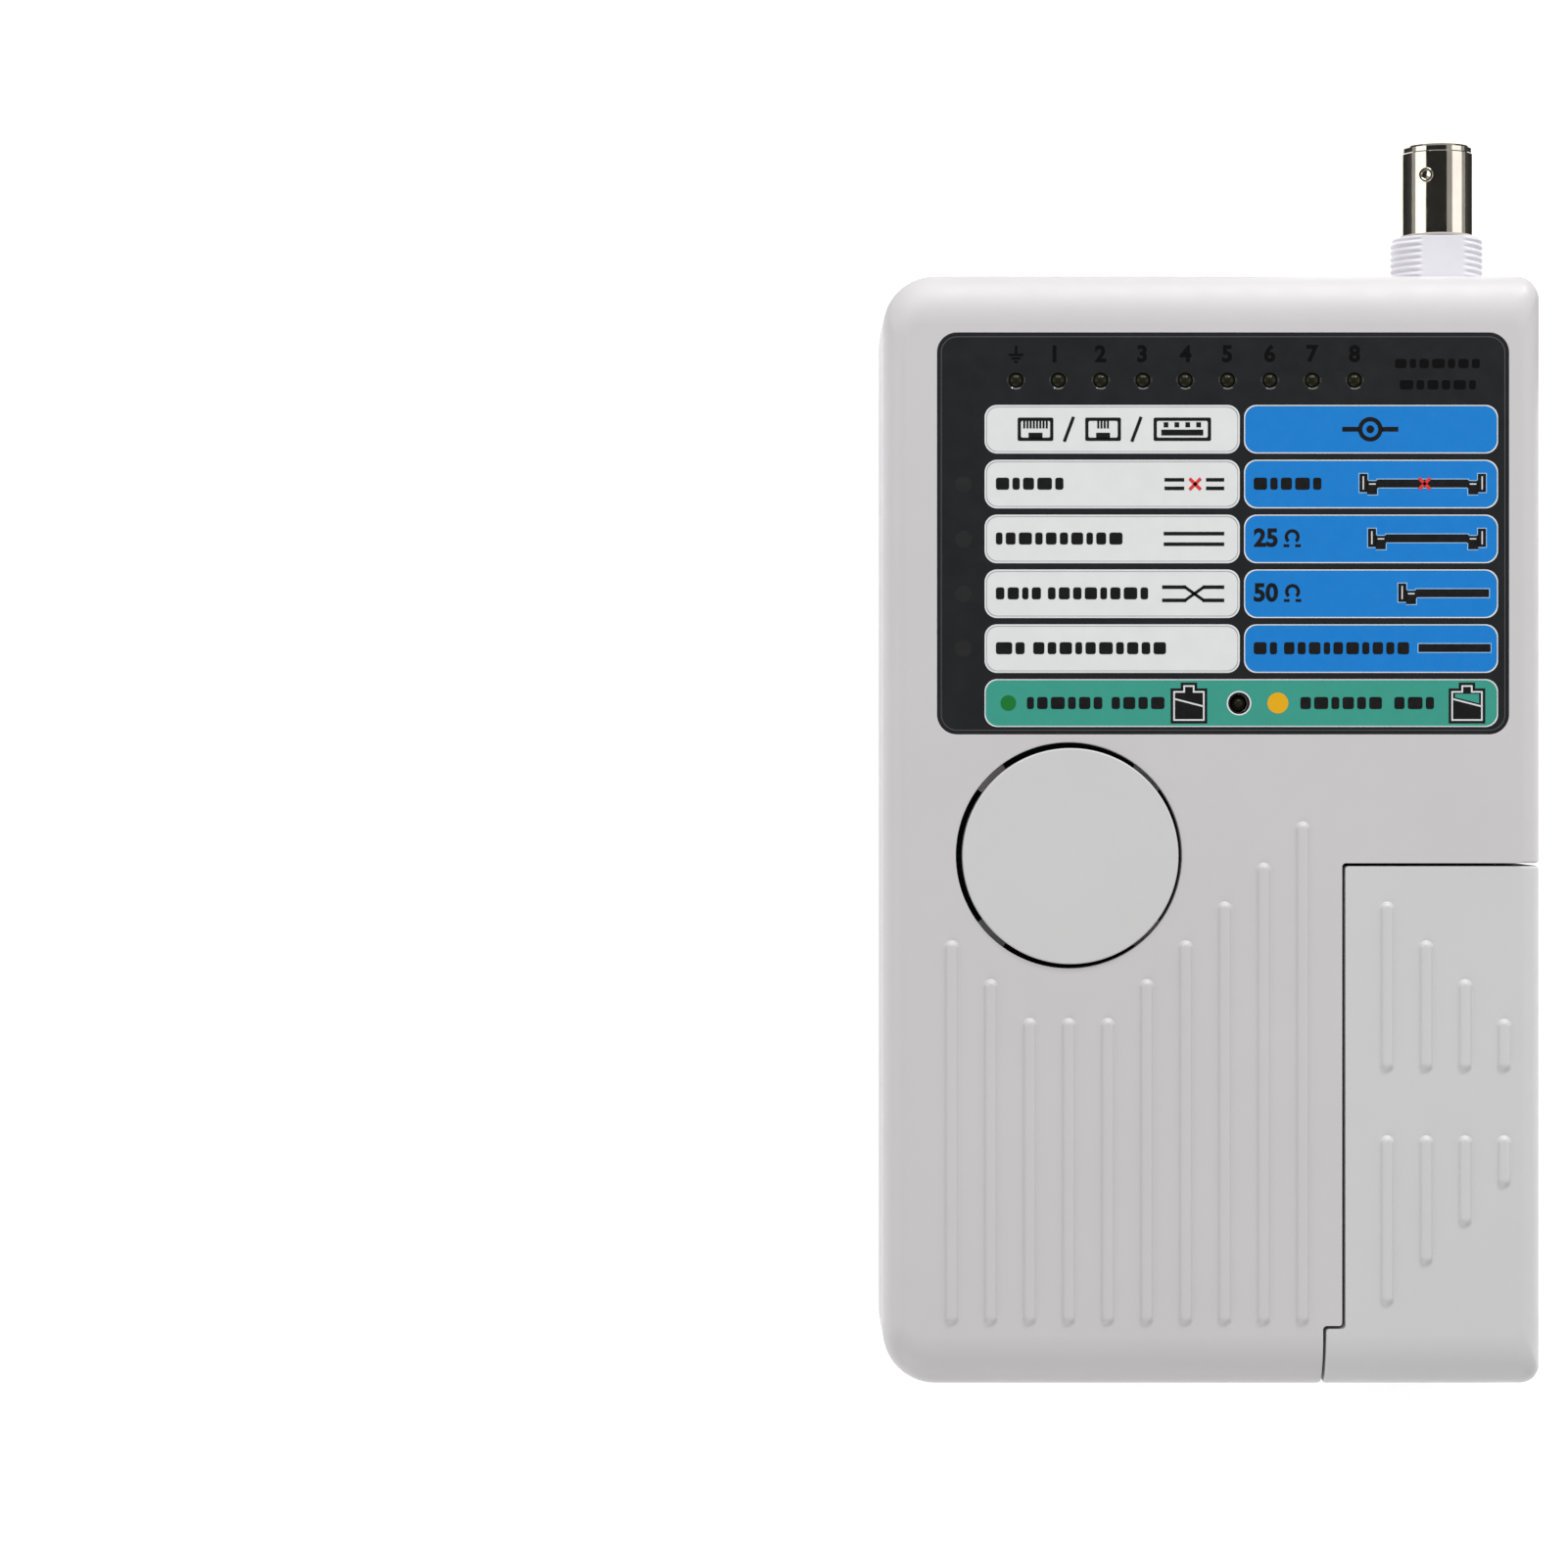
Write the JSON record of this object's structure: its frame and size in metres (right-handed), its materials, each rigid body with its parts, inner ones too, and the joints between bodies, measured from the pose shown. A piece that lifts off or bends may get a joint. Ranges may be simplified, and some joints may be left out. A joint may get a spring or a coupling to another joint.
{
  "type": "network cable tester",
  "caption": "Flat handheld network and coaxial cable tester with a large test button and a slide-off remote.",
  "frame": {"origin": "centre of the flat back of the docked casing", "axes": "+X right, +Y towards the coaxial connector, +Z out of the front face"},
  "size_m": [0.085, 0.1615, 0.025],
  "materials": {
    "casing_abs": "fine satin moulded ABS, warm light grey",
    "remote_abs": "fine satin moulded ABS, neutral light grey",
    "button_abs": "fine satin moulded ABS, light grey",
    "label_film": "black film with white, blue and green printed cells",
    "led_lens": "dark olive tinted lens",
    "circuit_board": "green solder mask",
    "chip_black": "moulded black epoxy",
    "socket_plastic": "black moulded plastic",
    "contact_gold": "gold flash on phosphor bronze",
    "plated_steel": "bright tin plate",
    "nickel": "nickel plate with turning marks",
    "white_plastic": "white moulded plastic",
    "battery_jacket": "plain printed jacket",
    "red_lead": "red wire insulation",
    "black_lead": "black wire insulation",
    "foam": "grey closed-cell foam",
    "screw_steel": "zinc plated steel"
  },
  "bodies": {
    "main_unit": {"main_front_shell": "casing_abs", "main_rear_shell": "casing_abs", "face_label": "label_film", "switch_body": "plated_steel", "main_pcb": "circuit_board", "controller_ic": "chip_black", "filter_capacitor": "plated_steel", "rj45_housing": "socket_plastic", "rj11_housing": "socket_plastic", "rj45_contacts": "contact_gold", "rj11_contacts": "contact_gold", "usb_a_shell": "plated_steel", "usb_a_tongue": "white_plastic", "bnc_base": "white_plastic", "bnc_barrel": "nickel", "bnc_dielectric": "white_plastic", "bnc_contact": "contact_gold", "battery_9v": "battery_jacket", "battery_snap": "socket_plastic", "battery_lead_red": "red_lead", "battery_lead_black": "black_lead", "battery_foam": "foam", "pin_led_shield": "led_lens", "pin_led_1": "led_lens", "pin_led_2": "led_lens", "pin_led_3": "led_lens", "pin_led_4": "led_lens", "pin_led_5": "led_lens", "pin_led_6": "led_lens", "pin_led_7": "led_lens", "pin_led_8": "led_lens", "row_led_1": "led_lens", "row_led_2": "led_lens", "row_led_3": "led_lens", "row_led_4": "led_lens", "battery_led": "led_lens", "main_screw_1": "screw_steel", "main_screw_2": "screw_steel", "main_screw_3": "screw_steel", "main_screw_4": "screw_steel"},
    "button": {"test_button": "button_abs", "switch_plunger": "chip_black"},
    "remote": {"remote_front_shell": "remote_abs", "remote_rear_shell": "remote_abs", "remote_pcb": "circuit_board", "remote_rj45_housing": "socket_plastic", "remote_rj45_contacts": "contact_gold", "remote_usb_b_shell": "plated_steel", "remote_usb_b_tongue": "white_plastic", "remote_screw_1": "screw_steel", "remote_screw_2": "screw_steel", "load_resistors": "chip_black"},
    "battery_door": {"battery_door": "casing_abs"}
  },
  "joints": [
    {"name": "button_press", "type": "slide", "parent": "main_unit", "child": "button", "axis": [0, 0, -1], "range_m": [0, 0.001], "stiffness_N_per_m": 600},
    {"name": "remote_slide", "type": "slide", "parent": "main_unit", "child": "remote", "axis": [0, -1, 0], "range_m": [0, 0.07]},
    {"name": "battery_door_slide", "type": "slide", "parent": "main_unit", "child": "battery_door", "axis": [0, -1, 0], "range_m": [0, 0.056]}
  ]
}
